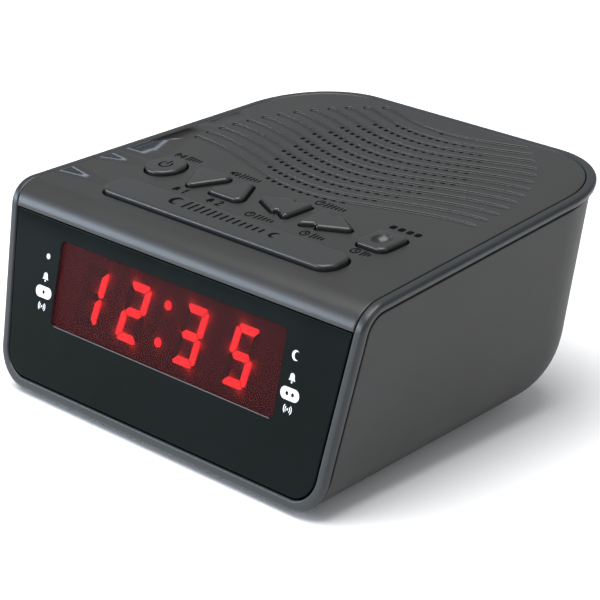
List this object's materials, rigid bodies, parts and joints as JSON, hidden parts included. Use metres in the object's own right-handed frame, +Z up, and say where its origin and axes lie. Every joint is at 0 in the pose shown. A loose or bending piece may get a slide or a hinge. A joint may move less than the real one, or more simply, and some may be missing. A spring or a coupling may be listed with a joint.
{
  "type": "clock radio",
  "caption": "Compact clock radio with a red digital display in a leaning front, push keys and snooze bar on top, and a grooved speaker grille.",
  "frame": {"origin": "middle of the footprint, on the surface that the radio stands on", "axes": "+Z up, +X to the right as the user faces the display, front towards -Y"},
  "size_m": [0.1294, 0.1116, 0.061],
  "materials": {
    "cabinet_plastic": "fine moulded texture, matt dark grey",
    "rim_plastic": "satin, near black with a cool tint",
    "top_plastic": "matt charcoal, satin on the front bend",
    "lens_black": "polished black acrylic",
    "window_red": "clear red filter",
    "key_plastic": "matt black",
    "segment_red": "lit red diffuser",
    "black_plastic": "moulded black",
    "white_plastic": "natural nylon",
    "circuit_board": "green solder mask",
    "steel": "zinc plated",
    "ribbon_grey": "flat cable sleeve",
    "capacitor_sleeve": "shrink sleeve",
    "speaker_paper": "pressed black paper",
    "ferrite": "sintered ferrite",
    "core_iron": "varnished laminations",
    "copper_coil": "enamelled copper wire",
    "foot_rubber": "matt black"
  },
  "bodies": {
    "body": {"cabinet": "cabinet_plastic", "rim_frame": "rim_plastic", "top_cover": "top_plastic", "front_lens": "lens_black", "display_window": "window_red", "tact_switches": "black_plastic", "key_board": "circuit_board", "key_board_screws": "steel", "display_board": "circuit_board", "display_housing": "black_plastic", "display_segments": "segment_red", "display_ribbon": "ribbon_grey", "key_ribbon": "ribbon_grey", "main_board": "circuit_board", "main_board_screws": "steel", "clock_chip": "black_plastic", "radio_chip": "black_plastic", "capacitors": "capacitor_sleeve", "speaker_basket": "steel", "speaker_cone": "speaker_paper", "speaker_magnet": "ferrite", "speaker_screws": "steel", "transformer_core": "core_iron", "transformer_coil": "copper_coil", "transformer_screws": "steel", "ferrite_rod": "ferrite", "antenna_coil": "copper_coil", "antenna_clips": "white_plastic", "battery_springs": "steel", "battery_contacts": "steel", "rubber_feet": "foot_rubber", "cabinet_screws": "steel", "cord_gland": "black_plastic"},
    "snooze_key": {"snooze_bar": "key_plastic", "snooze_plunger": "white_plastic"},
    "power_key": {"power_button": "key_plastic", "power_plunger": "white_plastic"},
    "volume_down_key": {"volume_down_button": "key_plastic", "volume_down_plunger": "white_plastic"},
    "volume_up_key": {"volume_up_button": "key_plastic", "volume_up_plunger": "white_plastic"},
    "tuning_down_key": {"tuning_down_button": "key_plastic", "tuning_down_plunger": "white_plastic"},
    "tuning_up_key": {"tuning_up_button": "key_plastic", "tuning_up_plunger": "white_plastic"},
    "preset_key": {"preset_button": "key_plastic", "preset_plunger": "white_plastic"},
    "door": {"battery_door": "cabinet_plastic"}
  },
  "joints": [
    {"name": "snooze_press", "type": "slide", "parent": "body", "child": "snooze_key", "axis": [0, 0.0924, -0.9957], "range_m": [0, 0.0008], "stiffness_N_per_m": 900},
    {"name": "power_press", "type": "slide", "parent": "body", "child": "power_key", "axis": [0, 0.0924, -0.9957], "range_m": [0, 0.0006], "stiffness_N_per_m": 800},
    {"name": "volume_down_press", "type": "slide", "parent": "body", "child": "volume_down_key", "axis": [0, 0.0924, -0.9957], "range_m": [0, 0.0006], "stiffness_N_per_m": 800},
    {"name": "volume_up_press", "type": "slide", "parent": "body", "child": "volume_up_key", "axis": [0, 0.0924, -0.9957], "range_m": [0, 0.0006], "stiffness_N_per_m": 800},
    {"name": "tuning_down_press", "type": "slide", "parent": "body", "child": "tuning_down_key", "axis": [0, 0.0924, -0.9957], "range_m": [0, 0.0006], "stiffness_N_per_m": 800},
    {"name": "tuning_up_press", "type": "slide", "parent": "body", "child": "tuning_up_key", "axis": [0, 0.0924, -0.9957], "range_m": [0, 0.0006], "stiffness_N_per_m": 800},
    {"name": "preset_press", "type": "slide", "parent": "body", "child": "preset_key", "axis": [0, 0.0924, -0.9957], "range_m": [0, 0.0006], "stiffness_N_per_m": 800},
    {"name": "battery_door_swing", "type": "hinge", "parent": "body", "child": "door", "pos_m": [0, -0.03105, 0.0015], "axis": [-1, 0, 0], "range_deg": [0, 80]}
  ]
}
